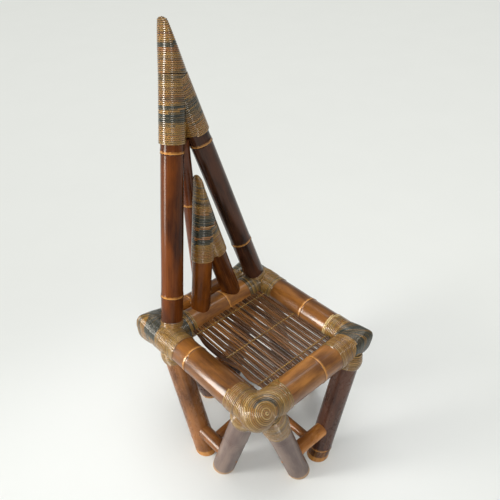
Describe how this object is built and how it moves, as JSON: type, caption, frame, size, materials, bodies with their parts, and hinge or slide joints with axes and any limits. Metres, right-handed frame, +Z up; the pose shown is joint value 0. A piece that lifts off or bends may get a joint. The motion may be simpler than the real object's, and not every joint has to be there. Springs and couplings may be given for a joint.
{
  "type": "bamboo chair",
  "caption": "Bamboo side chair with a tall pointed back of mitred poles, a slatted seat and splayed V legs, its joints bound with split cane.",
  "frame": {"origin": "on the floor, under the middle of the chair's bounding box", "axes": "+Z up, -Y the way the sitter faces, +X to the sitter's left"},
  "size_m": [0.493, 0.6312, 1.2894],
  "materials": {
    "bamboo_rail": "glossy stained culm, orange brown",
    "bamboo_post": "glossy stained culm, dark red brown",
    "bamboo_leg": "glossy stained culm, greyed brown",
    "bamboo_brace": "satin stained culm, brown",
    "bamboo_slat": "satin split bamboo, dark red brown",
    "cane": "satin split cane, tan with dark stained turns",
    "peg_wood": "bare pale wood"
  },
  "bodies": {
    "root": {"coil_front_left": "cane", "coil_front_right": "cane", "collar_front_left": "cane", "collar_front_right": "cane", "collar_left_front": "cane", "collar_left_rear": "cane", "collar_rear_left": "cane", "collar_rear_right": "cane", "collar_right_front": "cane", "collar_right_rear": "cane", "cross_lengthwise": "bamboo_brace", "cross_widthwise": "bamboo_brace", "leg_front_left": "bamboo_leg", "leg_front_right": "bamboo_leg", "leg_left_front": "bamboo_leg", "leg_left_rear": "bamboo_leg", "leg_rear_left": "bamboo_leg", "leg_rear_right": "bamboo_leg", "leg_right_front": "bamboo_leg", "leg_right_rear": "bamboo_leg", "peg_front_left": "peg_wood", "peg_front_right": "peg_wood", "peg_left_front": "peg_wood", "peg_left_rear": "peg_wood", "peg_rear_left": "peg_wood", "peg_rear_right": "peg_wood", "peg_right_front": "peg_wood", "peg_right_rear": "peg_wood", "post_small_left": "bamboo_post", "post_small_right": "bamboo_post", "post_tall_left": "bamboo_post", "post_tall_right": "bamboo_post", "prop_pole": "bamboo_post", "rail_front": "bamboo_rail", "rail_left": "bamboo_rail", "rail_prop": "bamboo_rail", "rail_rear": "bamboo_rail", "rail_right": "bamboo_rail", "seat_mat": "bamboo_slat", "stretcher_front": "bamboo_brace", "stretcher_left": "bamboo_brace", "stretcher_rear": "bamboo_brace", "stretcher_right": "bamboo_brace", "wrap_base_left": "cane", "wrap_base_right": "cane", "wrap_front_left": "cane", "wrap_front_right": "cane", "wrap_peak_small": "cane", "wrap_peak_tall": "cane", "wrap_prop_left": "cane", "wrap_prop_right": "cane", "wrap_side_front_left": "cane", "wrap_side_front_right": "cane", "wrap_side_rear_left": "cane", "wrap_side_rear_right": "cane", "wrap_small_left": "cane", "wrap_small_right": "cane", "wrap_tall_left": "cane", "wrap_tall_right": "cane"}
  },
  "joints": []
}
